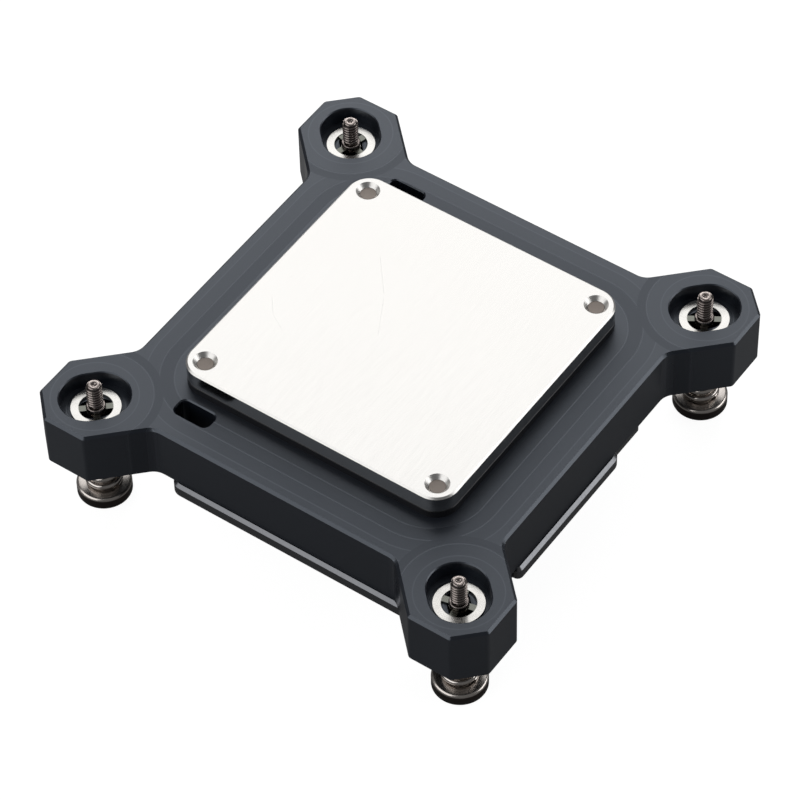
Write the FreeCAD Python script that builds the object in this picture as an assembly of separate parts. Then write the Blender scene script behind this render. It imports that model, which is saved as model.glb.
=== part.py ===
"""Water cooling block with four sprung mounting screws, lying with its cold plate up.

All sizes are in millimetres. X and Y run along the sides of the square block and Z points up.
The origin is on the surface that the block stands on, under the centre of the cold plate.
The block stands on the heads of its four mounting screws.
"""
import FreeCAD
import Part

import math
import os

from FreeCAD import Vector

os.makedirs("parts", exist_ok=True)

# Mounting screws
hole_square = 80.0            # side of the square that the four screw axes stand on
head_diameter = 10.4
head_height = 2.9
head_rim_chamfer = 0.5
shank_diameter = 3.7
shank_end_chamfer = 0.25
shank_collar = 0.75           # length of full shank that is left above the groove
groove_depth = 0.55
thread_diameter = 3.0
thread_length = 5.45
tip_chamfer = 0.4
tip_dimple_diameter = 1.2
tip_dimple_depth = 0.35
socket_across_flats = 3.0
socket_depth = 1.8

# Springs under the lugs
spring_length = 11.5
spring_outer_diameter = 7.1
spring_wire = 1.15
spring_pitch = 2.0

# Retaining rings in the counterbores
ring_outer_diameter = 9.3
ring_inner_diameter = 6.4
ring_thickness = 0.5
ring_tab_count = 4
ring_tab_width = 1.3
ring_tab_step = 0.12          # the tabs lie this much below the upper face of the ring
ring_turn = {"front_right": 13.0, "back_right": 32.0, "back_left": 73.0, "front_left": 42.0}

# Hold-down frame
frame_border = 10.9           # from the sides of the cold plate to the sides of the frame
lug_reach = 9.3               # from a screw axis to the outer sides of its lug
lug_corner_cut = 4.84         # the corner of a lug is cut off this far along each side
arm_width = 19.4
arm_fillet = 3.5
lug_thickness = 12.0
frame_edge_chamfer = 0.5
frame_lower_chamfer = 0.15
lug_corner_radius = 1.0
counterbore_width = 11.1
counterbore_depth = 3.45
counterbore_rim_chamfer = 0.2
slot_travel = 2.15            # how far a screw can slide along the diagonal
window_centre_x = -22.5
window_gap = 1.95             # from the side of the cold plate to a window
window_length = 7.6
window_width = 3.7
window_corner_radius = 1.2
window_rim_chamfer = 0.25

# Cover plate under the frame
cover_ledge = 0.75            # the flanks stand out this far beyond the frame
cover_thickness = 2.65
cover_bevel = 0.6             # along the upper edges of the flanks
cover_long_flank_start = -23.5
cover_long_flank_end = 30.0
cover_long_flank_radius = 2.4
cover_short_flank_start = -22.5
cover_short_flank_end = 11.6
cover_near_radius = 1.2
cover_far_radius = 3.0
cover_step_inset = 0.7        # beside a short flank the cover stays this far inside the frame
cover_step_start = -26.0
cover_step_end = 19.5
cover_wall = 1.05             # left between a window and the side of the cover between its flanks
cover_waist_end = 29.0
cover_corner_radius = 0.8
window_margin = 0.5           # the windows are this much wider in the cover, each side

# Flow body
flange_thickness = 1.8
flange_edge_chamfer = 0.25
core_inset = 1.5              # from the rows of assembly screws in to the sides of the core
core_corner_radius = 4.0
port_land = 1.0               # the core stands this much below the cover plate
port_spacing = 26.0
port_radius = 5.72            # bore of a G 1/4 thread
port_depth = 9.0
port_mouth_chamfer = 0.8
feed_diameter = 8.0
plenum_depth = 3.0
plenum_width = 5.0
plenum_length = 23.0
chamber_inset = 2.8           # from the middle of the seal in to the sides of the chamber
chamber_corner_radius = 3.0

# Jet plate
jet_thickness = 0.8
jet_low_x = -18.0
jet_high_x = 7.5
jet_width = 26.0
jet_slot_width = 1.2
jet_slot_length = 22.0
jet_corner_radius = 2.0

# Cold plate
plate_margin = 3.8            # from the rows of assembly screws out to the sides of the plate
plate_thickness = 3.45
plate_corner_radius = 4.5
plate_edge_chamfer = 0.35
fin_field = 27.0
fin_height = 2.5
fin_pitch = 0.9
fin_thickness = 0.45

# Assembly screws through cover, frame and flow body into the cold plate
assembly_square = 51.0
assembly_thread_diameter = 3.0
assembly_head_diameter = 5.8
assembly_head_recess = 0.1
assembly_socket_across_flats = 2.0
assembly_socket_depth = 1.0
assembly_tip_depth = 0.8      # the screw ends this far below the cold face
plate_hole_mouth = 4.6

# Seal between cold plate and flow body
seal_inset = 2.7              # from the sides of the core in to the middle of the seal
seal_corner_radius = 4.0
seal_width = 1.9
seal_height = 1.35
seal_edge_radius = 0.5

# Clearances
touch_gap = 0.02              # between a moving piece and the flat face that it rests on
tab_fit = 0.1                 # ring tab to the groove in the shank, radially and each side
shank_clearance = 0.3         # shank to slot, each side
core_clearance = 0.15         # core to the frame and the cover, each side
jet_clearance = 0.1
seal_clearance = 0.15         # seal to the side walls of its groove
thread_clearance = 0.05
passage_clearance = 0.2       # assembly screw to the plain holes, radially
head_clearance = 0.1

# Sides of the squares and places across the block, worked out from the two squares of screws
plate_side = assembly_square + 2 * plate_margin
core_side = assembly_square - 2 * core_inset
seal_side = core_side - 2 * seal_inset
chamber_side = seal_side - 2 * chamber_inset
body_side = plate_side + 2 * frame_border
window_centre_y = plate_side / 2 + window_gap + window_width / 2
cover_half = body_side / 2 + cover_ledge
cover_step = body_side / 2 - cover_step_inset
cover_waist = window_centre_y + window_width / 2 + window_margin + cover_wall

# Heights of the stack, worked out upwards from the surface that the heads stand on
head_top = head_height
lug_bottom = head_top + spring_length
frame_top = lug_bottom + lug_thickness
cover_bottom = lug_bottom - cover_thickness
core_bottom = cover_bottom - port_land
plate_bottom = frame_top + flange_thickness
plate_top = plate_bottom + plate_thickness
counterbore_floor = frame_top - counterbore_depth
ring_bottom = counterbore_floor + touch_gap
ring_top = ring_bottom + ring_thickness
groove_width = ring_thickness - ring_tab_step + 2 * tab_fit
groove_bottom = ring_bottom - tab_fit
shank_top = groove_bottom + groove_width + shank_collar
screw_top = shank_top + thread_length

corners = {
    "front_right": (1, -1),
    "back_right": (1, 1),
    "back_left": (-1, 1),
    "front_left": (-1, -1),
}


def arc_wire(points, radii):
    """A closed outline through the points, each corner rounded by its own radius (0 leaves it sharp)."""
    count = len(points)
    entries = []
    for i in range(count):
        before = Vector(*points[i - 1], 0)
        corner = Vector(*points[i], 0)
        after = Vector(*points[(i + 1) % count], 0)
        back = (before - corner).normalize()
        ahead = (after - corner).normalize()
        if radii[i] <= 0:
            entries.append((corner, corner, corner))
            continue
        half_angle = back.getAngle(ahead) / 2
        reach = radii[i] / math.tan(half_angle)
        bisector = (back + ahead).normalize()
        centre = corner + bisector * (radii[i] / math.sin(half_angle))
        middle = centre - bisector * radii[i]
        entries.append((corner + back * reach, middle, corner + ahead * reach))
    edges = []
    for i in range(count):
        start, middle, end = entries[i]
        if radii[i] > 0:
            edges.append(Part.Arc(start, middle, end).toShape())
        following = entries[(i + 1) % count][0]
        if (following - end).Length > 1e-6:
            edges.append(Part.LineSegment(end, following).toShape())
    return Part.Wire(edges)


def prism(points, radii, bottom, top):
    """The outline with rounded corners, extruded between two heights."""
    face = Part.Face(arc_wire(points, radii))
    face.translate(Vector(0, 0, bottom))
    return face.extrude(Vector(0, 0, top - bottom))


def rectangle(low_x, high_x, low_y, high_y):
    """The four corners of a rectangle, turning left."""
    return [(low_x, low_y), (high_x, low_y), (high_x, high_y), (low_x, high_y)]


def block(low_x, high_x, low_y, high_y, radius, bottom, top):
    """A rectangular block with rounded upright edges."""
    return prism(rectangle(low_x, high_x, low_y, high_y), [radius] * 4, bottom, top)


def square(side, radius, bottom, top):
    """A square block on the Z axis with rounded upright edges."""
    half = side / 2
    return block(-half, half, -half, half, radius, bottom, top)


def rod(radius, x, y, bottom, top):
    """An upright cylinder."""
    return Part.makeCylinder(radius, top - bottom, Vector(x, y, bottom))


def taper(bottom_radius, top_radius, x, y, bottom, top):
    """An upright cone frustum."""
    return Part.makeCone(bottom_radius, top_radius, top - bottom, Vector(x, y, bottom))


def hexagon(across_flats, x, y, bottom, top):
    """An upright hexagonal prism."""
    radius = across_flats / math.sqrt(3)
    points = []
    for i in range(6):
        angle = math.radians(60 * i)
        points.append((x + radius * math.cos(angle), y + radius * math.sin(angle)))
    return prism(points, [0] * 6, bottom, top)


def edges_at(shape, height):
    """The edges of a shape that lie wholly at one height."""
    found = []
    for edge in shape.Edges:
        box = edge.BoundBox
        if abs(box.ZMin - height) < 1e-6 and abs(box.ZMax - height) < 1e-6:
            found.append(edge)
    return found


def chamfer_at(shape, height, size):
    """The shape with every edge at one height chamfered."""
    return shape.makeChamfer(size, edges_at(shape, height))


def chamfer_rim(shape, height, x, y, reach, size):
    """The shape with the rim of one hole chamfered: the edges at the height that lie within reach of a point."""
    rim = []
    for edge in edges_at(shape, height):
        box = edge.BoundBox
        across = max(abs(box.XMin - x), abs(box.XMax - x))
        along = max(abs(box.YMin - y), abs(box.YMax - y))
        if max(across, along) < reach:
            rim.append(edge)
    return shape.makeChamfer(size, rim)


def at_corners(spacing):
    """The centres of the four corners of a square pattern."""
    half = spacing / 2
    return [(sx * half, sy * half) for sx, sy in corners.values()]


def save(shape, node):
    """Writes one node."""
    shape.exportStep("parts/" + node + ".step")


def diagonal_slot(sx, sy, width, travel, bottom, top):
    """A prism with round ends along a corner's diagonal, centred on that corner's screw axis."""
    half = hole_square / 2
    length = travel + width
    slot = block(-length / 2, length / 2, -width / 2, width / 2, width / 2, bottom, top)
    slot.rotate(Vector(0, 0, 0), Vector(0, 0, 1), math.degrees(math.atan2(sy, sx)))
    slot.translate(Vector(sx * half, sy * half, 0))
    return slot


def frame_blank():
    """The outline of the frame: a square with four diagonal arms that end in eight-sided lugs.

    Each corner of the outline follows from the square, the width of the arm and the reach of the lug.
    """
    side = body_side / 2
    reach = hole_square / 2 + lug_reach
    arm_sum = arm_width / math.sqrt(2)
    first_quarter = [
        ((side, side - arm_sum), arm_fillet),
        ((reach, reach - arm_sum), lug_corner_radius),
        ((reach, reach - lug_corner_cut), lug_corner_radius),
        ((reach - lug_corner_cut, reach), lug_corner_radius),
        ((reach - arm_sum, reach), lug_corner_radius),
        ((side - arm_sum, side), arm_fillet),
    ]
    points = []
    radii = []
    for turn in range(4):
        angle = math.radians(90 * turn)
        for (x, y), radius in first_quarter:
            points.append((x * math.cos(angle) - y * math.sin(angle), x * math.sin(angle) + y * math.cos(angle)))
            radii.append(radius)
    blank = prism(points, radii, lug_bottom, frame_top)
    blank = chamfer_at(blank, frame_top, frame_edge_chamfer)
    return chamfer_at(blank, lug_bottom, frame_lower_chamfer)


def hold_down_frame():
    """The frame with its middle opening, counterbored slots, windows and screw passages."""
    frame = frame_blank()
    opening_side = core_side + 2 * core_clearance
    frame = frame.cut(square(opening_side, core_corner_radius, lug_bottom, frame_top))
    for sx, sy in corners.values():
        slot_width = shank_diameter + 2 * shank_clearance
        frame = frame.cut(diagonal_slot(sx, sy, slot_width, slot_travel, lug_bottom, frame_top))
        frame = frame.cut(diagonal_slot(sx, sy, counterbore_width, slot_travel, counterbore_floor, frame_top))
        x = sx * hole_square / 2
        y = sy * hole_square / 2
        reach = (counterbore_width + slot_travel) / 2
        frame = chamfer_rim(frame, frame_top, x, y, reach, counterbore_rim_chamfer)
    for side in (-1, 1):
        frame = frame.cut(window_prism(side, 0, lug_bottom, frame_top))
        y = side * window_centre_y
        frame = chamfer_rim(frame, frame_top, window_centre_x, y, window_length / 2 + 0.1, window_rim_chamfer)
    passage = assembly_thread_diameter / 2 + passage_clearance
    for x, y in at_corners(assembly_square):
        frame = frame.cut(rod(passage, x, y, lug_bottom, frame_top))
    return frame


def window_prism(side, margin, bottom, top):
    """One of the two small windows beside the cold plate, grown by a margin."""
    half_length = window_length / 2 + margin
    half_width = window_width / 2 + margin
    y = side * window_centre_y
    return block(
        window_centre_x - half_length, window_centre_x + half_length,
        y - half_width, y + half_width, window_corner_radius + margin, bottom, top)


def flank(outline, radii):
    """One flank of the cover plate, running in to the middle, with a bevel along its upper edges."""
    return chamfer_at(prism(outline, radii, cover_bottom, lug_bottom), lug_bottom, cover_bevel)


def cover_plate():
    """The cover plate: a square with its corners cut off, and four flanks that stand out beyond the frame.

    It has two long flanks and two short ones, and is the same again when it is turned half way round.
    On both sides of each short flank a step stays inside the frame.
    """
    waist = cover_waist
    end = cover_waist_end
    half_turn = [(end, -waist), (waist, -end), (waist, end), (end, waist)]
    points = half_turn + [(-x, -y) for x, y in half_turn]
    cover = prism(points, [cover_corner_radius] * len(points), cover_bottom, lug_bottom)
    long_flank = flank(
        rectangle(cover_long_flank_start, cover_long_flank_end, -cover_half, 0),
        [cover_long_flank_radius, cover_long_flank_radius, 0, 0])
    short_flank = flank(
        rectangle(0, cover_half, cover_short_flank_start, cover_short_flank_end),
        [0, cover_near_radius, cover_far_radius, 0])
    step = prism(
        rectangle(0, cover_step, cover_step_start, cover_step_end),
        [0, cover_corner_radius, cover_corner_radius, 0], cover_bottom, lug_bottom)
    for piece in (long_flank, short_flank, step):
        opposite = piece.copy()
        opposite.rotate(Vector(0, 0, 0), Vector(0, 0, 1), 180)
        cover = cover.fuse([piece, opposite])
    cover = cover.removeSplitter()
    cover = cover.cut(square(core_side + 2 * core_clearance, core_corner_radius, cover_bottom, lug_bottom))
    for side in (-1, 1):
        cover = cover.cut(window_prism(side, window_margin, cover_bottom, lug_bottom))
    passage = assembly_thread_diameter / 2 + passage_clearance
    sink_radius = assembly_head_diameter / 2 + head_clearance
    sink_bottom = cover_bottom + assembly_head_recess
    for x, y in at_corners(assembly_square):
        cover = cover.cut(rod(passage, x, y, cover_bottom, lug_bottom))
        cover = cover.cut(rod(sink_radius, x, y, cover_bottom, sink_bottom))
        cover = cover.cut(taper(sink_radius, passage, x, y, sink_bottom, sink_bottom + sink_radius - passage))
    return cover


def cold_plate():
    """The plate with its tapped screw holes and the fin field on its wet side."""
    plate = square(plate_side, plate_corner_radius, plate_bottom, plate_top)
    plate = chamfer_at(plate, plate_top, plate_edge_chamfer)
    half = fin_field / 2
    fin_count = int(fin_field / fin_pitch)
    first = -(fin_count - 1) * fin_pitch / 2
    for i in range(fin_count):
        y = first + i * fin_pitch
        low = y - fin_thickness / 2
        fin = Part.makeBox(fin_field, fin_thickness, fin_height, Vector(-half, low, plate_bottom - fin_height))
        plate = plate.fuse(fin)
    plate = plate.removeSplitter()
    hole = assembly_thread_diameter / 2 + thread_clearance
    mouth = plate_hole_mouth / 2
    for x, y in at_corners(assembly_square):
        plate = plate.cut(rod(hole, x, y, plate_bottom, plate_top))
        plate = plate.cut(taper(hole, mouth, x, y, plate_top - assembly_tip_depth, plate_top))
    return plate


def flow_body():
    """The body that carries the coolant: a flange on the frame and a core with two ports."""
    flange = square(plate_side, plate_corner_radius, frame_top, plate_bottom)
    flange = chamfer_at(flange, plate_bottom, flange_edge_chamfer)
    core = square(core_side, core_corner_radius, core_bottom, frame_top)
    body = flange.fuse(core).removeSplitter()
    chamber_floor = plate_bottom - fin_height
    jet_floor = chamber_floor - jet_thickness
    body = body.cut(square(chamber_side, chamber_corner_radius, chamber_floor, plate_bottom))
    body = body.cut(block(
        jet_low_x - jet_clearance, jet_high_x + jet_clearance,
        -jet_width / 2 - jet_clearance, jet_width / 2 + jet_clearance,
        jet_corner_radius, jet_floor, chamber_floor))
    port_x = port_spacing / 2
    feed = feed_diameter / 2
    plenum_floor = jet_floor - plenum_depth
    body = body.cut(block(
        -plenum_width / 2, plenum_width / 2, -plenum_length / 2, plenum_length / 2,
        plenum_width / 4, plenum_floor, jet_floor))
    body = body.cut(block(-port_x, 0, -feed, feed, 0, plenum_floor, jet_floor))
    port_top = core_bottom + port_depth
    for x, feed_top in ((-port_x, jet_floor), (port_x, chamber_floor)):
        body = body.cut(rod(feed, x, 0, port_top, feed_top))
        body = body.cut(rod(port_radius, x, 0, core_bottom, port_top))
        mouth = port_radius + port_mouth_chamfer
        body = body.cut(taper(mouth, port_radius, x, 0, core_bottom, core_bottom + port_mouth_chamfer))
    groove_side = seal_side + seal_width + 2 * seal_clearance
    groove_inner = seal_side - seal_width - 2 * seal_clearance
    groove_floor = plate_bottom - seal_height
    groove = square(groove_side, seal_corner_radius + seal_width / 2, groove_floor, plate_bottom)
    island = square(groove_inner, seal_corner_radius - seal_width / 2, groove_floor, plate_bottom)
    body = body.cut(groove.cut(island))
    passage = assembly_thread_diameter / 2 + passage_clearance
    for x, y in at_corners(assembly_square):
        body = body.cut(rod(passage, x, y, frame_top, plate_bottom))
    return body


def plate_seal():
    """The seal ring pressed flat between the groove floor and the cold plate."""
    bottom = plate_bottom - seal_height
    outer = square(seal_side + seal_width, seal_corner_radius + seal_width / 2, bottom, plate_bottom)
    inner = square(seal_side - seal_width, seal_corner_radius - seal_width / 2, bottom, plate_bottom)
    ring = outer.cut(inner)
    rounded = edges_at(ring, bottom) + edges_at(ring, plate_bottom)
    return ring.makeFillet(seal_edge_radius, rounded)


def jet_plate():
    """The thin plate with one slot that spreads the coolant over the fins."""
    top = plate_bottom - fin_height
    bottom = top - jet_thickness
    plate = block(jet_low_x, jet_high_x, -jet_width / 2, jet_width / 2, jet_corner_radius, bottom, top)
    half_width = jet_slot_width / 2
    half_length = jet_slot_length / 2
    slot = block(-half_width, half_width, -half_length, half_length, half_width, bottom, top)
    return plate.cut(slot)


def assembly_screws():
    """The four countersunk screws that clamp cover, frame and flow body to the cold plate."""
    radius = assembly_thread_diameter / 2
    head_radius = assembly_head_diameter / 2
    bottom = cover_bottom + assembly_head_recess
    tip = plate_top - assembly_tip_depth
    screws = []
    for x, y in at_corners(assembly_square):
        screw = rod(radius, x, y, bottom, tip)
        screw = screw.fuse(taper(head_radius, radius, x, y, bottom, bottom + head_radius - radius))
        screw = screw.cut(hexagon(assembly_socket_across_flats, x, y, bottom, bottom + assembly_socket_depth))
        screws.append(screw.removeSplitter())
    return Part.makeCompound(screws)


def spring_screw(x, y):
    """One mounting screw, head down: head with socket, plain shank with a groove, threaded end."""
    head = rod(head_diameter / 2, x, y, 0, head_top)
    head = head.makeChamfer(head_rim_chamfer, edges_at(head, head_top) + edges_at(head, 0))
    radius = shank_diameter / 2
    shank = rod(radius, x, y, head_top, shank_top)
    shank = chamfer_at(shank, shank_top, shank_end_chamfer)
    thread = rod(thread_diameter / 2, x, y, shank_top, screw_top)
    thread = chamfer_at(thread, screw_top, tip_chamfer)
    screw = head.fuse([shank, thread])
    groove = rod(radius + 1, x, y, groove_bottom, groove_bottom + groove_width)
    groove = groove.cut(rod(radius - groove_depth, x, y, groove_bottom, groove_bottom + groove_width))
    screw = screw.cut(groove)
    screw = screw.cut(hexagon(socket_across_flats, x, y, 0, socket_depth))
    dimple = taper(0, tip_dimple_diameter / 2, x, y, screw_top - tip_dimple_depth, screw_top)
    return screw.cut(dimple).removeSplitter()


def coil_spring(x, y):
    """One compression spring with ground ends between the screw head and the lug."""
    mean_radius = (spring_outer_diameter - spring_wire) / 2
    bottom = head_top + touch_gap
    top = lug_bottom - touch_gap
    run = top - bottom + 2 * spring_pitch
    helix = Part.makeHelix(spring_pitch, run, mean_radius)
    section = Part.makeCircle(spring_wire / 2, Vector(mean_radius, 0, 0), Vector(0, 1, 0))
    wire = Part.Wire(helix).makePipeShell([Part.Wire(section)], True, True)
    wire.translate(Vector(x, y, bottom - spring_pitch))
    keep = rod(spring_outer_diameter, x, y, bottom, top)
    return wire.common(keep)


def retaining_ring(x, y, turn):
    """One flat ring with tabs that reach into the groove of the shank."""
    ring = rod(ring_outer_diameter / 2, x, y, ring_bottom, ring_top)
    ring = ring.cut(rod(ring_inner_diameter / 2, x, y, ring_bottom, ring_top))
    tab_tip = shank_diameter / 2 - groove_depth + tab_fit
    tab_root = (ring_inner_diameter + ring_outer_diameter) / 4
    for i in range(ring_tab_count):
        tab = Part.makeBox(tab_root - tab_tip / 2, ring_tab_width, ring_thickness - ring_tab_step)
        tab.translate(Vector(tab_tip / 2, -ring_tab_width / 2, 0))
        tab.rotate(Vector(0, 0, 0), Vector(0, 0, 1), turn + i * 360 / ring_tab_count)
        tab.translate(Vector(x, y, ring_bottom))
        ring = ring.fuse(tab)
    ring = ring.cut(rod(tab_tip, x, y, ring_bottom, ring_top))
    return ring.removeSplitter()


save(cold_plate(), "cold_plate")
save(plate_seal(), "plate_seal")
save(jet_plate(), "jet_plate")
save(flow_body(), "flow_body")
save(hold_down_frame(), "hold_down_frame")
save(cover_plate(), "cover_plate")
save(assembly_screws(), "assembly_screws")
for name, (sx, sy) in corners.items():
    screw_x = sx * hole_square / 2
    screw_y = sy * hole_square / 2
    save(spring_screw(screw_x, screw_y), "spring_screw_" + name)
    save(coil_spring(screw_x, screw_y), "coil_spring_" + name)
    save(retaining_ring(screw_x, screw_y, ring_turn[name]), "retaining_ring_" + name)
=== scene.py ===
"""Water cooling block, cold plate up: finishes, turned screws, wound springs, floor, lamps and camera.

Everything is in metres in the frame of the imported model: X and Y run along the sides of the block and Z
points up. The block stands at height 0. Sizes in millimetres are turned into metres where they are used.
"""
import math

import bpy
import numpy as np
from mathutils import Matrix, Vector


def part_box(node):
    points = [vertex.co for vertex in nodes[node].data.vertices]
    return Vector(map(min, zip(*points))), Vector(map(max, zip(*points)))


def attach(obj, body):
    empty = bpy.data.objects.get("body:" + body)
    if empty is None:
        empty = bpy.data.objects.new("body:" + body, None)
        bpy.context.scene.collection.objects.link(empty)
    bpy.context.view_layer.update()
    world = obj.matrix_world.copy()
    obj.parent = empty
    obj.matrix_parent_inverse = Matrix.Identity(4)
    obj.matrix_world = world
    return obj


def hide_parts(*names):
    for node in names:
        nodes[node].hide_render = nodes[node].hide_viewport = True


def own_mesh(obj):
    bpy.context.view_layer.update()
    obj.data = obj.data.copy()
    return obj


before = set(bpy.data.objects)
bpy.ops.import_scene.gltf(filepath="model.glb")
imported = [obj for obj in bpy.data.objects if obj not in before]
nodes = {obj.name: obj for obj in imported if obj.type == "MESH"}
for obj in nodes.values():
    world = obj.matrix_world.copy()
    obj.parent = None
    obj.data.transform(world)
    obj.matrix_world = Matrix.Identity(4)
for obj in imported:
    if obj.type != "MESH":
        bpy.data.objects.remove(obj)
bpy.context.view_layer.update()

MM = 0.001
CORNERS = ("front_right", "back_right", "back_left", "front_left")

# Underside of the lugs, which the springs press on, in millimetres
frame_low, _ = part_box("hold_down_frame")
lug_bottom = frame_low.z / MM


def screw_foot(corner):
    """Where the axis of a corner's screw meets height 0, in millimetres."""
    low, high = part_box("spring_screw_" + corner)
    return np.array([(low.x + high.x) / 2, (low.y + high.y) / 2, 0]) / MM


# Meshes


def wrap_rings(name, rings, start_pole, end_pole):
    """A closed surface through rings of points, in millimetres.

    rings has the shape (rings, points, 3). Each point is joined to the next one of its ring, the last to the
    first, and to the point of the same number on the next ring. A fan of triangles closes each end at a pole.
    """
    count, around, _ = rings.shape
    i = np.arange(count - 1)[:, None]
    j = np.arange(around)[None, :]
    here = i * around + j
    beside = i * around + (j + 1) % around
    sides = np.stack([here, beside, beside + around, here + around], axis=-1)
    point = np.arange(around)
    next_point = (point + 1) % around
    last_ring = (count - 1) * around
    start = np.full(around, count * around)
    start_fan = np.stack([start, next_point, point], axis=-1)
    end_fan = np.stack([start + 1, last_ring + point, last_ring + next_point], axis=-1)
    faces = sides.reshape(-1, 4).tolist() + start_fan.tolist() + end_fan.tolist()
    vertices = np.vstack([rings.reshape(-1, 3), start_pole, end_pole]) * MM
    mesh = bpy.data.meshes.new(name)
    mesh.from_pydata(vertices.tolist(), [], faces)
    mesh.validate()
    piece = bpy.data.objects.new(name, mesh)
    bpy.context.scene.collection.objects.link(piece)
    return piece


def shade_by_angle(piece, degrees):
    """Smooth shading that stays crisp where two faces meet at more than an angle."""
    mesh = piece.data
    mesh.polygons.foreach_set("use_smooth", np.ones(len(mesh.polygons), dtype=bool))
    mesh.set_sharp_from_angle(angle=math.radians(degrees))


def ease(share):
    """A share held between 0 and 1, with a level start and end: 3 t² - 2 t³."""
    share = np.clip(share, 0, 1)
    return share * share * (3 - 2 * share)


# Spring screws: one surface each, from the middle of the socket's floor to the tip, in millimetres

SCREW_SIDES = 96
HEAD_RADIUS = 5.2
HEAD_HEIGHT = 2.9
RIM = 0.5
RIM_BULGE = 0.12
RIM_TONE = (2.25, 2.45)       # the side of the head turns from dull and painted dark, a painted shade, to bright between these heights
EDGE_RING = 0.4               # a ring this far from an edge keeps the shading of the flat face level
CORNER_STEP = 0.02            # and one this far past the foot of the shank keeps its side straight
FACE_RING = 2.4               # radius of the ring that joins the round face to the hexagon
SOCKET_FLATS = 3.0
SOCKET_DEPTH = 1.8
SOCKET_CONE = 0.25            # the drilled floor of the socket falls by this much
SOCKET_POINT = 0.35           # and its middle lies this much below its sides
SOCKET_FLOOR_RINGS = (0.35, 0.7)
SOCKET_CHAMFER = 0.15
SOCKET_MOUTH = 0.1            # the chamfer is a circle this much outside the hexagon's corners
SOCKET_SIDE_STEP = 0.05
SHANK_RADIUS = 1.85
GROOVE_RADIUS = 1.3
GROOVE_LOW = 22.87
GROOVE_HIGH = 23.45
COLLAR_TOP = 24.2
COLLAR_EDGE = 0.3
COLLAR_BULGE = 0.2
THREAD_RADIUS = 1.5
THREAD_ROOT = 1.17
THREAD_PITCH = 0.65
THREAD_ROWS = 10              # rings of points in one pitch
THREAD_FADE = 0.3             # the thread starts from its root within this height
CREST_TONE = (1.22, 1.47)     # its colour goes from the painted shade of the root to the tone of the crest between these radii
RIDGE_CREST = 1.15
RIDGE_SLOPE = 2.6
THREAD_TONE_START = 0.1       # above the collar
TIP = 29.65
TIP_TAPER = 0.45
TIP_START = 0.06              # the taper starts this much outside the root
TIP_EDGE = 0.3                # and ends this much inside it
TIP_BULGE = 0.22
DIMPLE_DEPTH = 0.35
DIMPLE = ((0.75, 0.0), (0.6, 0.0), (0.45, 0.12), (0.2, 0.3))     # radius, and depth under the tip
SCREW_CREASE = 40


def rounded_step(r0, z0, r1, z1, bulge):
    """Points of a small rounded edge between two points of a profile: a straight line pushed out like an arc.

    The push is bulge times the line's length times 4 t (1 - t), at a right angle to the line.
    """
    t = np.linspace(0, 1, 5)
    push = bulge * 4 * t * (1 - t)
    radius = r0 + (r1 - r0) * t + push * (z1 - z0)
    height = z0 + (z1 - z0) * t - push * (r1 - r0)
    return np.stack([radius, height], axis=1)


def screw_rings():
    """Rings of a spring screw about its own axis, from the socket's floor up to the tip.

    The socket is a hexagon: its radius at an angle is half the flats divided by the cosine of the angle from
    the middle of the nearest flat. The thread's radius at height z and angle a follows a rounded triangle of
    the fraction of z / pitch - a / turn, and it grows out of the collar.
    """
    angle = np.linspace(0, 2 * np.pi, SCREW_SIDES, endpoint=False)
    from_flat = (angle + np.pi / 6) % (np.pi / 3) - np.pi / 6
    hexagon = SOCKET_FLATS / 2 / np.cos(from_flat)
    mouth = SOCKET_FLATS / math.sqrt(3) + SOCKET_MOUTH
    rows = [(hexagon * share, SOCKET_DEPTH + SOCKET_CONE * (1 - share)) for share in SOCKET_FLOOR_RINGS]
    rows.append((hexagon, SOCKET_DEPTH))
    rows.append((hexagon, SOCKET_CHAMFER))
    rows.append((np.maximum(hexagon + SOCKET_SIDE_STEP, mouth), 0.0))
    shoulder = SHANK_RADIUS - COLLAR_EDGE
    rows += np.vstack([
        [[FACE_RING, 0.0], [HEAD_RADIUS - RIM - EDGE_RING, 0.0]],
        rounded_step(HEAD_RADIUS - RIM, 0.0, HEAD_RADIUS, RIM, RIM_BULGE),
        rounded_step(HEAD_RADIUS, HEAD_HEIGHT - RIM, HEAD_RADIUS - RIM, HEAD_HEIGHT, RIM_BULGE),
        [[SHANK_RADIUS + EDGE_RING, HEAD_HEIGHT], [SHANK_RADIUS, HEAD_HEIGHT]],
        [[SHANK_RADIUS, HEAD_HEIGHT + CORNER_STEP], [SHANK_RADIUS, GROOVE_LOW]],
        [[GROOVE_RADIUS, GROOVE_LOW], [GROOVE_RADIUS, GROOVE_HIGH], [SHANK_RADIUS, GROOVE_HIGH]],
        rounded_step(SHANK_RADIUS, COLLAR_TOP - COLLAR_EDGE, shoulder, COLLAR_TOP, COLLAR_BULGE),
    ]).tolist()
    for z in np.arange(COLLAR_TOP, TIP - TIP_TAPER + 0.001, THREAD_PITCH / THREAD_ROWS):
        share = (z / THREAD_PITCH - angle / (2 * np.pi)) % 1
        ridge = ease(RIDGE_CREST - RIDGE_SLOPE * np.abs(share - 0.5))
        grown = np.clip((z - COLLAR_TOP) / THREAD_FADE, 0, 1)
        rows.append((THREAD_ROOT + (THREAD_RADIUS - THREAD_ROOT) * ridge * grown, z))
    taper = rounded_step(THREAD_ROOT + TIP_START, TIP - TIP_TAPER, THREAD_ROOT - TIP_EDGE, TIP, TIP_BULGE)
    rows += taper.tolist()
    rows += [(radius, TIP - depth) for radius, depth in DIMPLE]
    radius = np.array([np.broadcast_to(row[0], SCREW_SIDES) for row in rows])
    height = np.array([np.full(SCREW_SIDES, row[1]) for row in rows])
    return np.stack([radius * np.cos(angle), radius * np.sin(angle), height], axis=-1)


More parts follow.
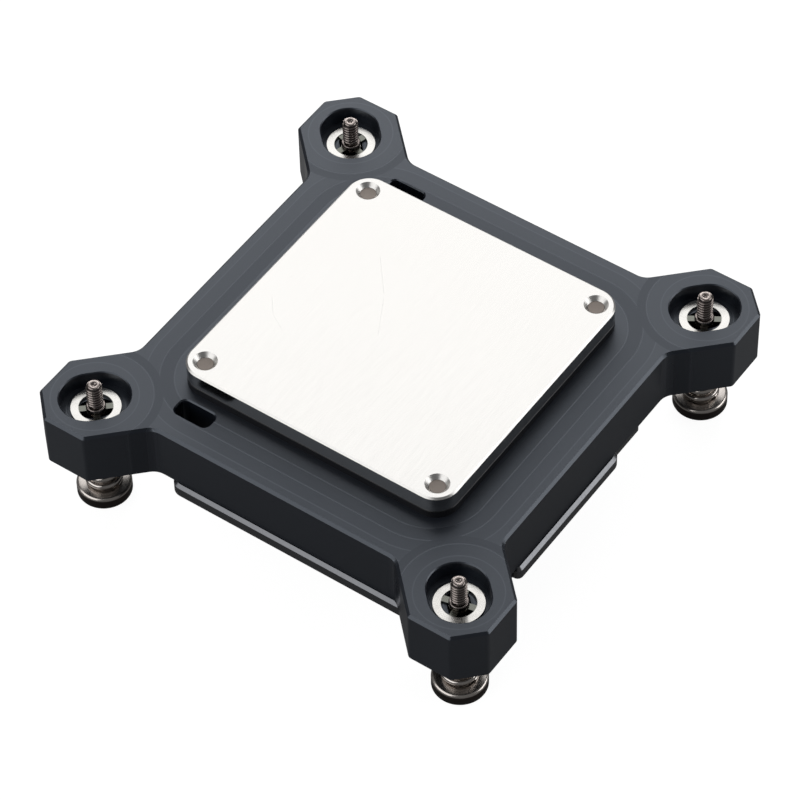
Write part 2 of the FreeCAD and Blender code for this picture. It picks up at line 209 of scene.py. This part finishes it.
def spring_screw(corner):
    """One spring screw with its hexagon socket, ring groove and cut thread."""
    foot = screw_foot(corner)
    socket_middle = foot + [0, 0, SOCKET_DEPTH + SOCKET_POINT]
    dimple_middle = foot + [0, 0, TIP - DIMPLE_DEPTH]
    piece = wrap_rings("turned_screw_" + corner, screw_rings() + foot, socket_middle, dimple_middle)
    shade_by_angle(piece, SCREW_CREASE)
    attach(piece, "screw_" + corner)
    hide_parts("spring_screw_" + corner)
    return piece


# Springs: round wire on a helix whose pitch closes at both ends, where it is ground flat, in millimetres

SPRING_RADIUS = 2.975
WIRE_RADIUS = 0.575
END_GAP = 0.02
MIDDLE_TURNS = 3.9
END_TURNS = 1.0
CLOSING_TURNS = 0.33          # the pitch changes within this share of a turn
CLOSED_SHARE = 0.98           # the end turns lie this many thicknesses of the wire apart
GROUND = 0.3
SPRING_STEPS = 420
WIRE_SIDES = 20
SPRING_CREASE = 50


def spring_rings(bottom, top):
    """Rings of wire along the spring's centre line.

    The centre line turns evenly and climbs by its pitch: nearly the wire's own thickness in the end turns and
    an even larger pitch between them, blended by a smooth step. Points of the round wire that reach past an
    end plane are pressed onto it, which gives the ground faces.
    """
    turns = MIDDLE_TURNS + 2 * END_TURNS
    turn = np.linspace(0, turns, SPRING_STEPS)
    from_end = np.minimum(turn, turns - turn)
    into_middle = ease((from_end - END_TURNS) / CLOSING_TURNS + 0.5)
    low = bottom + WIRE_RADIUS - GROUND
    high = top - WIRE_RADIUS + GROUND
    step = turns / (SPRING_STEPS - 1)
    closed = 2 * WIRE_RADIUS * CLOSED_SHARE * (1 - into_middle)
    extra = (high - low - np.sum(closed[1:]) * step) / (np.sum(into_middle[1:]) * step)
    climb = np.concatenate([[0], np.cumsum((closed + extra * into_middle)[1:] * step)])
    angle = 2 * np.pi * turn[:, None]
    section = np.linspace(0, 2 * np.pi, WIRE_SIDES, endpoint=False)[None, ::-1]
    outward = SPRING_RADIUS + WIRE_RADIUS * np.cos(section)
    height = np.clip(low + climb[:, None] + WIRE_RADIUS * np.sin(section), bottom, top)
    return np.stack([outward * np.cos(angle), outward * np.sin(angle), height], axis=-1)


def coil_spring(corner):
    """One coil spring between the screw's head and the lug."""
    foot = screw_foot(corner)
    rings = spring_rings(HEAD_HEIGHT + END_GAP, lug_bottom - END_GAP) + foot
    piece = wrap_rings("wound_spring_" + corner, rings, rings[0].mean(axis=0), rings[-1].mean(axis=0))
    shade_by_angle(piece, SPRING_CREASE)
    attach(piece, "spring_" + corner)
    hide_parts("coil_spring_" + corner)
    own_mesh(piece)
    return piece


# Building blocks of the materials

NOISE_RANGE = (0.3, 0.7)      # where most of a noise pattern lies
LEVEL = (0.90, 0.98)          # a face that looks up between these shares turns from tilted to level
BUMP_DEPTH = 0.00001          # height of a bump from black to white, in metres


def new_material(name):
    """An empty node material with its output and one principled shader, linked."""
    material = bpy.data.materials.new(name)
    material.use_nodes = True
    tree = material.node_tree
    tree.nodes.clear()
    output = tree.nodes.new("ShaderNodeOutputMaterial")
    shader = tree.nodes.new("ShaderNodeBsdfPrincipled")
    tree.links.new(shader.outputs["BSDF"], output.inputs["Surface"])
    return material, tree, shader


def set_inputs(tree, node, inputs):
    """Sets the inputs of a node; one that is given as a socket is linked."""
    for key, value in inputs.items():
        if isinstance(value, bpy.types.NodeSocket):
            tree.links.new(value, node.inputs[key])
        else:
            node.inputs[key].default_value = value


def add(tree, kind, inputs=None, **settings):
    """A node with its settings and inputs."""
    node = tree.nodes.new(kind)
    for key, value in settings.items():
        setattr(node, key, value)
    set_inputs(tree, node, inputs or {})
    return node


def math_node(tree, operation, first, second=0.0, third=0.0):
    """The output of one arithmetic node."""
    node = add(tree, "ShaderNodeMath", {0: first, 1: second, 2: third}, operation=operation)
    return node.outputs[0]


def weighted(tree, base, *terms):
    """The base plus each value times its weight."""
    total = base
    for value, weight in terms:
        total = math_node(tree, "MULTIPLY_ADD", value, weight, total)
    return total


def spread(tree, value, source, target):
    """The value carried from one range to another and held at its ends."""
    node = add(tree, "ShaderNodeMapRange", {
        "Value": value,
        "From Min": source[0],
        "From Max": source[1],
        "To Min": target[0],
        "To Max": target[1]})
    return node.outputs["Result"]


def place(tree, scale=(1, 1, 1), turn=(0, 0, 0)):
    """Object coordinates in metres, scaled and turned."""
    coordinates = add(tree, "ShaderNodeTexCoord")
    mapping = add(tree, "ShaderNodeMapping", {
        "Vector": coordinates.outputs["Object"], "Scale": scale, "Rotation": turn})
    return mapping.outputs["Vector"]


def noise(tree, vector, scale, detail, roughness):
    """A noise pattern between 0 and 1."""
    node = add(tree, "ShaderNodeTexNoise", {
        "Vector": vector, "Scale": scale, "Detail": detail, "Roughness": roughness})
    return node.outputs["Fac"]


def bump(tree, height, strength):
    """A normal from a height."""
    node = add(tree, "ShaderNodeBump", {"Height": height, "Strength": strength, "Distance": BUMP_DEPTH})
    return node.outputs["Normal"]


def mix_colours(tree, share, first, second):
    """A colour that goes evenly from one to another; each is three numbers or a socket."""
    first, second = (c if isinstance(c, bpy.types.NodeSocket) else (*c, 1) for c in (first, second))
    node = add(tree, "ShaderNodeMix", {"Factor": share, "A": first, "B": second}, data_type="RGBA")
    return node.outputs["Result"]


def own_millimetres(tree, axes):
    """The object coordinates along the given axes, in millimetres."""
    coordinates = add(tree, "ShaderNodeTexCoord")
    parts = add(tree, "ShaderNodeSeparateXYZ", {"Vector": coordinates.outputs["Object"]})
    return [math_node(tree, "DIVIDE", parts.outputs[axis], MM) for axis in axes]


def facing_up(tree):
    """How far a face looks up: 1 on a level face and 0 on an upright one."""
    geometry = add(tree, "ShaderNodeNewGeometry")
    return add(tree, "ShaderNodeSeparateXYZ", {"Vector": geometry.outputs["Normal"]}).outputs["Z"]


def distance_from_square(tree, half_side, rounded):
    """The distance to the corners of a square round the middle of the block, in millimetres.

    A rounded path has the same distance along the whole side too, and turns about the corners.
    """
    squares = 0.0
    for coordinate in own_millimetres(tree, "XY"):
        beyond = math_node(tree, "SUBTRACT", math_node(tree, "ABSOLUTE", coordinate), half_side)
        if rounded:
            beyond = math_node(tree, "MAXIMUM", beyond, 0.0)
        squares = math_node(tree, "MULTIPLY_ADD", beyond, beyond, squares)
    return math_node(tree, "SQRT", squares)


# Black frame, in millimetres

LUG_CENTRE = 40.0             # half the side of the square of the screws
LUG_PASSES = 12.5             # the cutter goes round a screw's slot within this distance from it
PATH_CORNER = 22.0            # its passes round the plate turn their corners about this point
CUTTER_STEP = 2.7             # between two passes
PASS_EDGE = (0.44, 0.49)      # from the middle of a pass, as a share of its width
FEED_STEP = 0.32              # between two marks of the cutter's teeth


def anodised_frame():
    """Black anodised aluminium with the faint passes of the cutter round the plate and over the lugs.

    A pass is one band of the distance to the rounded square of the plate, or on a lug of the distance to its
    screw. Each band has its own slight tone, and its edge is a fine line.
    """
    material, tree, shader = new_material("frame_black_anodised")
    fine = noise(tree, place(tree), scale=9000, detail=2.0, roughness=0.6)
    cloud = noise(tree, place(tree), scale=60, detail=3.0, roughness=0.55)
    around_plate = distance_from_square(tree, PATH_CORNER, rounded=True)
    around_screw = distance_from_square(tree, LUG_CENTRE, rounded=False)
    on_lug = math_node(tree, "LESS_THAN", around_screw, LUG_PASSES)
    choice = add(tree, "ShaderNodeMix", {
        "Factor": on_lug, "A": around_plate, "B": around_screw}, data_type="FLOAT")
    path = choice.outputs["Result"]
    passes = math_node(tree, "DIVIDE", path, CUTTER_STEP)
    band = math_node(tree, "FLOOR", passes)
    tone = add(tree, "ShaderNodeTexWhiteNoise", {"W": band}, noise_dimensions="1D").outputs["Value"]
    into_band = math_node(tree, "SUBTRACT", math_node(tree, "FRACT", passes), 0.5)
    edge = spread(tree, math_node(tree, "ABSOLUTE", into_band), PASS_EDGE, (0.0, 1.0))
    teeth = math_node(tree, "SINE", math_node(tree, "MULTIPLY", path, 2 * math.pi / FEED_STEP))
    on_top = spread(tree, facing_up(tree), LEVEL, (0.0, 1.0))
    smooth = spread(tree, cloud, NOISE_RANGE, (0.21, 0.25))
    shine = spread(tree, tone, (0.0, 1.0), (0.44, 0.58))
    relief = weighted(tree, fine, (teeth, 0.12), (edge, -0.9))
    set_inputs(tree, shader, {
        "Base Color": mix_colours(tree, cloud, (0.0050, 0.0068, 0.0115), (0.0075, 0.0098, 0.0160)),
        "Roughness": weighted(tree, smooth, (on_top, 0.12), (tone, 0.09), (edge, -0.10)),
        "Specular IOR Level": weighted(tree, shine, (edge, 0.12)),
        "IOR": 1.72,
        "Specular Tint": (0.80, 0.88, 1.0, 1),
        "Normal": bump(tree, relief, strength=0.16)})
    return material


def dark_cover():
    """Dark metal of the cover, smoother than the frame, with the slanting strokes of its finishing."""
    material, tree, shader = new_material("cover_dark_metal")
    along_strokes = place(tree, scale=(1, 1, 0.12), turn=(0.6, 0.5, 0.3))
    strokes = noise(tree, along_strokes, scale=2600, detail=3.0, roughness=0.6)
    cloud = noise(tree, place(tree), scale=90, detail=3.0, roughness=0.55)
    set_inputs(tree, shader, {
        "Base Color": mix_colours(tree, cloud, (0.150, 0.154, 0.165), (0.190, 0.194, 0.206)),
        "Metallic": 1.0,
        "Roughness": spread(tree, strokes, NOISE_RANGE, (0.2, 0.3)),
        "Normal": bump(tree, strokes, strength=0.02)})
    return material


# Bright plate, in millimetres

SCRATCHES = (
    # where a stroke starts and ends on the plate, and its width
    ((-14.1, 13.2), (-8.0, 5.8), 0.10),
    ((-7.6, 5.2), (-3.1, -3.1), 0.07),
    ((-24.8, -6.0), (-21.9, -9.6), 0.08),
    ((-21.9, -9.6), (-17.8, -11.9), 0.06),
    ((-24.9, -0.6), (-24.5, 0.2), 0.12),
    ((-24.7, -9.3), (-24.3, -8.7), 0.14),
    ((20.4, 8.7), (21.0, 9.1), 0.14),
    ((23.6, 9.2), (24.2, 9.5), 0.12),
)
SCRATCH_CORE = 0.4            # full strength within this share of a stroke's width
SCRATCH_FADE = 0.6            # a stroke fades out over this length at each end


def scratch(tree, x, y, start, end, width):
    """1 on a thin straight stroke between two points of the plate and 0 elsewhere.

    The way along the stroke is the dot product with its direction, and the way aside is the cross product.
    """
    length = math.hypot(end[0] - start[0], end[1] - start[1])
    toward_x = (end[0] - start[0]) / length
    toward_y = (end[1] - start[1]) / length
    from_x = math_node(tree, "SUBTRACT", x, start[0])
    from_y = math_node(tree, "SUBTRACT", y, start[1])
    along = weighted(tree, 0.0, (from_x, toward_x), (from_y, toward_y))
    aside = weighted(tree, 0.0, (from_x, toward_y), (from_y, -toward_x))
    near = spread(tree, math_node(tree, "ABSOLUTE", aside), (width * SCRATCH_CORE, width), (1.0, 0.0))
    from_middle = math_node(tree, "ABSOLUTE", math_node(tree, "SUBTRACT", along, length / 2))
    within = spread(tree, from_middle, (length / 2 - SCRATCH_FADE, length / 2), (1.0, 0.0))
    return math_node(tree, "MULTIPLY", near, within)


def nickel_plate():
    """Bright nickel on a lapped plate, with faint lapping lines, a few light scratches and a duller edge."""
    material, tree, shader = new_material("plate_bright_nickel")
    cloud = noise(tree, place(tree), scale=40, detail=2.0, roughness=0.5)
    along_laps = place(tree, scale=(1, 0.06, 1), turn=(0, 0, 0.42))
    lapping = noise(tree, along_laps, scale=3200, detail=2.0, roughness=0.6)
    x, y = own_millimetres(tree, "XY")
    marks = 0.0
    for start, end, width in SCRATCHES:
        marks = math_node(tree, "MAXIMUM", scratch(tree, x, y, start, end, width), marks)
    up = facing_up(tree)
    not_level = spread(tree, up, LEVEL, (1.0, 0.0))
    not_upright = spread(tree, up, (0.1, 0.3), (0.0, 1.0))
    edge = math_node(tree, "MULTIPLY", not_level, not_upright)
    clean = mix_colours(tree, cloud, (0.700, 0.688, 0.668), (0.712, 0.702, 0.684))
    marked = math_node(tree, "MULTIPLY", marks, 0.22)
    smooth = spread(tree, lapping, NOISE_RANGE, (0.16, 0.21))
    set_inputs(tree, shader, {
        "Base Color": mix_colours(tree, marked, clean, (0.52, 0.51, 0.49)),
        "Metallic": 1.0,
        "Roughness": weighted(tree, smooth, (marks, 0.08), (edge, 0.16)),
        "Normal": bump(tree, lapping, strength=0.02)})
    return material


def machined_acetal():
    """Black machined plastic of the flow body."""
    material, tree, shader = new_material("body_black_acetal")
    cloud = noise(tree, place(tree), scale=70, detail=3.0, roughness=0.5)
    set_inputs(tree, shader, {
        "Base Color": mix_colours(tree, cloud, (0.008, 0.008, 0.01), (0.012, 0.012, 0.014)),
        "Roughness": spread(tree, cloud, NOISE_RANGE, (0.22, 0.3)),
        "Specular IOR Level": 0.35})
    return material


def plain_steel(name, dark, light, roughness, grain):
    """Steel with a slightly uneven tone."""
    material, tree, shader = new_material(name)
    cloud = noise(tree, place(tree), scale=grain, detail=3.0, roughness=0.6)
    set_inputs(tree, shader, {
        "Base Color": mix_colours(tree, cloud, dark, light),
        "Metallic": 1.0,
        "Roughness": spread(tree, cloud, NOISE_RANGE, roughness)})
    return material


def screw_steel():
    """Nickel-plated steel: the turned side of the head is dull and painted near black, a painted shade for
    the dark floor that it mirrors, with a bright rim above it.

    The stud is darker than the shank, and darkest in the roots of its thread, where the dark is painted
    shade.
    """
    material, tree, shader = new_material("screw_nickel")
    cloud = noise(tree, place(tree), scale=400, detail=3.0, roughness=0.6)
    [height] = own_millimetres(tree, "Z")
    above_shaded_side = spread(tree, height, RIM_TONE, (0.0, 1.0))
    on_stud = math_node(tree, "GREATER_THAN", height, GROOVE_LOW)
    from_axis = distance_from_square(tree, LUG_CENTRE, rounded=False)
    root = spread(tree, from_axis, CREST_TONE, (1.0, 0.0))
    above_collar = math_node(tree, "GREATER_THAN", height, COLLAR_TOP + THREAD_TONE_START)
    below_taper = math_node(tree, "LESS_THAN", height, TIP - TIP_TAPER)
    on_thread = math_node(tree, "MULTIPLY", above_collar, below_taper)
    # painted shade: the side of the head is coloured near black for the dark floor that it mirrors
    side = mix_colours(tree, cloud, (0.045, 0.036, 0.033), (0.075, 0.062, 0.057))
    shank = mix_colours(tree, cloud, (0.54, 0.5, 0.47), (0.62, 0.58, 0.545))
    stud = mix_colours(tree, cloud, (0.27, 0.235, 0.22), (0.37, 0.325, 0.305))
    upper = mix_colours(tree, on_stud, shank, stud)
    # painted shade: the roots of the thread are coloured near black
    thread_with_root_shade = mix_colours(tree, math_node(tree, "MULTIPLY", on_thread, root), upper, (0.035, 0.03, 0.028))
    set_inputs(tree, shader, {
        "Base Color": mix_colours(tree, above_shaded_side, side, thread_with_root_shade),
        "Metallic": 1.0,
        "Roughness": spread(tree, above_shaded_side, (0.0, 1.0), (0.42, 0.24))})
    return material


RING_INNER_RADIUS = 3.2       # of the retaining rings, without their tabs, in millimetres


def ring_steel():
    """Bright spring steel of the retaining rings, coloured darker on the tabs inside the ring."""
    material, tree, shader = new_material("ring_bright_steel")
    cloud = noise(tree, place(tree), scale=500, detail=3.0, roughness=0.6)
    from_axis = distance_from_square(tree, LUG_CENTRE, rounded=False)
    on_ring = spread(tree, from_axis, (RING_INNER_RADIUS - 0.1, RING_INNER_RADIUS + 0.1), (0.0, 1.0))
    tabs = mix_colours(tree, cloud, (0.155, 0.16, 0.14), (0.215, 0.22, 0.195))
    ring = mix_colours(tree, cloud, (0.70, 0.685, 0.655), (0.78, 0.765, 0.735))
    set_inputs(tree, shader, {
        "Base Color": mix_colours(tree, on_ring, tabs, ring),
        "Metallic": 1.0,
        "Roughness": spread(tree, cloud, NOISE_RANGE, (0.2, 0.3))})
    return material


def dull_rubber():
    """Black rubber of the hidden seal."""
    material, tree, shader = new_material("seal_black_rubber")
    cloud = noise(tree, place(tree), scale=300, detail=2.0, roughness=0.5)
    set_inputs(tree, shader, {
        "Base Color": mix_colours(tree, cloud, (0.015, 0.015, 0.015), (0.03, 0.03, 0.03)),
        "Roughness": spread(tree, cloud, NOISE_RANGE, (0.6, 0.75))})
    return material


def paint(piece, material):
    """Gives a piece one material in place of those it has."""
    piece.data.materials.clear()
    piece.data.materials.append(material)


screw_finish = screw_steel()
ring_finish = ring_steel()
spring_finish = plain_steel("spring_nickel", (0.54, 0.5, 0.47), (0.64, 0.6, 0.57), (0.12, 0.18), grain=500)
assembly_finish = plain_steel(
    "assembly_screw_steel", (0.16, 0.14, 0.125), (0.23, 0.2, 0.18), (0.3, 0.45), grain=900)
jet_finish = plain_steel("jet_plate_steel", (0.52, 0.52, 0.52), (0.6, 0.6, 0.6), (0.25, 0.4), grain=300)

paint(nodes["cold_plate"], nickel_plate())
paint(nodes["plate_seal"], dull_rubber())
paint(nodes["jet_plate"], jet_finish)
paint(nodes["flow_body"], machined_acetal())
paint(nodes["hold_down_frame"], anodised_frame())
paint(nodes["cover_plate"], dark_cover())
paint(nodes["assembly_screws"], assembly_finish)

for corner in CORNERS:
    paint(spring_screw(corner), screw_finish)
    paint(coil_spring(corner), spring_finish)
    paint(nodes["retaining_ring_" + corner], ring_finish)
    paint(nodes["spring_screw_" + corner], screw_finish)
    paint(nodes["coil_spring_" + corner], spring_finish)


# Floor, lamps and room

FLOOR_REACH = 6.0
FLOOR_HEIGHT = -0.00005       # a hair under the screw heads, so that the two faces don't flicker
FLOOR_SEEN = 0.945            # white that the camera gets from the floor, beside the light that falls on it
FLOOR_MIRRORED = 0.045        # and what a mirror ray gets
ROOM_LIGHT = 0.14             # the open room round the block; the camera sees it white


def seen_directly(tree, rays):
    """1 for the camera's rays and for those through a clear piece."""
    return math_node(tree, "MAXIMUM", rays.outputs["Is Camera Ray"], rays.outputs["Is Transmission Ray"])


def white_floor():
    """Floor that looks white with the block's shadow on it, and that lights the block like dark card.

    Its own colour takes the light and the shadow. White is added for the camera and for rays through a clear
    piece, and a small share of it for mirror rays: the sides of the block and its screws mirror a dark floor.
    """
    material, tree, shader = new_material("floor_white")
    set_inputs(tree, shader, {
        "Base Color": (0.2, 0.2, 0.2, 1), "Roughness": 0.9, "Specular IOR Level": 0.0})
    rays = add(tree, "ShaderNodeLightPath")
    seen = math_node(tree, "MULTIPLY", seen_directly(tree, rays), FLOOR_SEEN)
    mirrored = math_node(tree, "MULTIPLY", rays.outputs["Is Glossy Ray"], FLOOR_MIRRORED)
    strength = math_node(tree, "MAXIMUM", seen, mirrored)
    white = add(tree, "ShaderNodeEmission", {"Color": (1, 1, 1, 1), "Strength": strength})
    both = add(tree, "ShaderNodeAddShader", {0: shader.outputs["BSDF"], 1: white.outputs["Emission"]})
    output = next(node for node in tree.nodes if node.type == "OUTPUT_MATERIAL")
    tree.links.new(both.outputs["Shader"], output.inputs["Surface"])
    return material


floor_corners = [
    (-FLOOR_REACH, -FLOOR_REACH, FLOOR_HEIGHT),
    (FLOOR_REACH, -FLOOR_REACH, FLOOR_HEIGHT),
    (FLOOR_REACH, FLOOR_REACH, FLOOR_HEIGHT),
    (-FLOOR_REACH, FLOOR_REACH, FLOOR_HEIGHT)]
floor_mesh = bpy.data.meshes.new("floor")
floor_mesh.from_pydata(floor_corners, [], [(0, 1, 2, 3)])
floor = bpy.data.objects.new("floor", floor_mesh)
bpy.context.scene.collection.objects.link(floor)
paint(floor, white_floor())

PANEL_AIM = Vector((0, 0, 0.02))


def panel(name, azimuth, elevation, distance, width, height, radiance):
    """A soft box that faces the block.

    Azimuth is measured from +X towards +Y, in degrees. A lamp of area A that shines with radiance L in all
    directions of its half space has the power pi L A.
    """
    lamp = bpy.data.lights.new(name, "AREA")
    lamp.shape = "RECTANGLE"
    lamp.size = width
    lamp.size_y = height
    lamp.energy = math.pi * radiance * width * height
    a = math.radians(azimuth)
    e = math.radians(elevation)
    direction = Vector((math.cos(a) * math.cos(e), math.sin(a) * math.cos(e), math.sin(e)))
    holder = bpy.data.objects.new(name, lamp)
    holder.location = PANEL_AIM + direction * distance
    holder.rotation_euler = direction.to_track_quat("Z", "Y").to_euler()
    bpy.context.scene.collection.objects.link(holder)


panel("panel_back", azimuth=126, elevation=34, distance=1.0, width=1.1, height=0.95, radiance=1.27)
panel("strip_low", azimuth=128, elevation=15, distance=1.05, width=1.3, height=0.26, radiance=5.0)
panel("strip_front", azimuth=243, elevation=33, distance=1.0, width=1.2, height=0.75, radiance=1.35)
panel("panel_right", azimuth=35, elevation=22, distance=1.0, width=0.8, height=0.4, radiance=2.2)
panel("key_top", azimuth=100, elevation=74, distance=1.2, width=0.35, height=0.35, radiance=1.5)

room = bpy.data.worlds.new("studio")
room.use_nodes = True
bpy.context.scene.world = room
room_tree = room.node_tree
room_seen = seen_directly(room_tree, add(room_tree, "ShaderNodeLightPath"))
set_inputs(room_tree, room_tree.nodes["Background"], {
    "Color": (1, 1, 1, 1), "Strength": spread(room_tree, room_seen, (0.0, 1.0), (ROOM_LIGHT, 1.0))})


# The camera stands where the photograph was taken from: direction and distance from a point on the cold plate

CAMERA_AZIMUTH = math.radians(36.17256)
CAMERA_ELEVATION = math.radians(49.51243)
CAMERA_ROLL = math.radians(-1.58019)
CAMERA_DISTANCE = 0.7376456
CAMERA_LENS = 185.3902
CAMERA_SENSOR = 36.0
CAMERA_TARGET = Vector((0.0089844, -0.0133599, 0.03165))
NEAREST_SEEN = 0.01
FARTHEST_SEEN = 20.0

back = Vector((
    math.sin(CAMERA_AZIMUTH) * math.cos(CAMERA_ELEVATION),
    -math.cos(CAMERA_AZIMUTH) * math.cos(CAMERA_ELEVATION),
    math.sin(CAMERA_ELEVATION)))
right = (-back).cross(Vector((0, 0, 1))).normalized()
up = right.cross(-back)
rolled_right = math.cos(CAMERA_ROLL) * right + math.sin(CAMERA_ROLL) * up
rolled_up = -math.sin(CAMERA_ROLL) * right + math.cos(CAMERA_ROLL) * up
orientation = Matrix((rolled_right, rolled_up, back)).transposed()

camera = bpy.data.cameras.new("camera")
camera.sensor_width = CAMERA_SENSOR
camera.lens = CAMERA_LENS
camera.clip_start = NEAREST_SEEN
camera.clip_end = FARTHEST_SEEN
viewer = bpy.data.objects.new("camera", camera)
viewer.matrix_world = Matrix.Translation(CAMERA_TARGET + back * CAMERA_DISTANCE) @ orientation.to_4x4()
bpy.context.scene.collection.objects.link(viewer)
bpy.context.scene.camera = viewer
bpy.context.scene.view_settings.view_transform = "Standard"
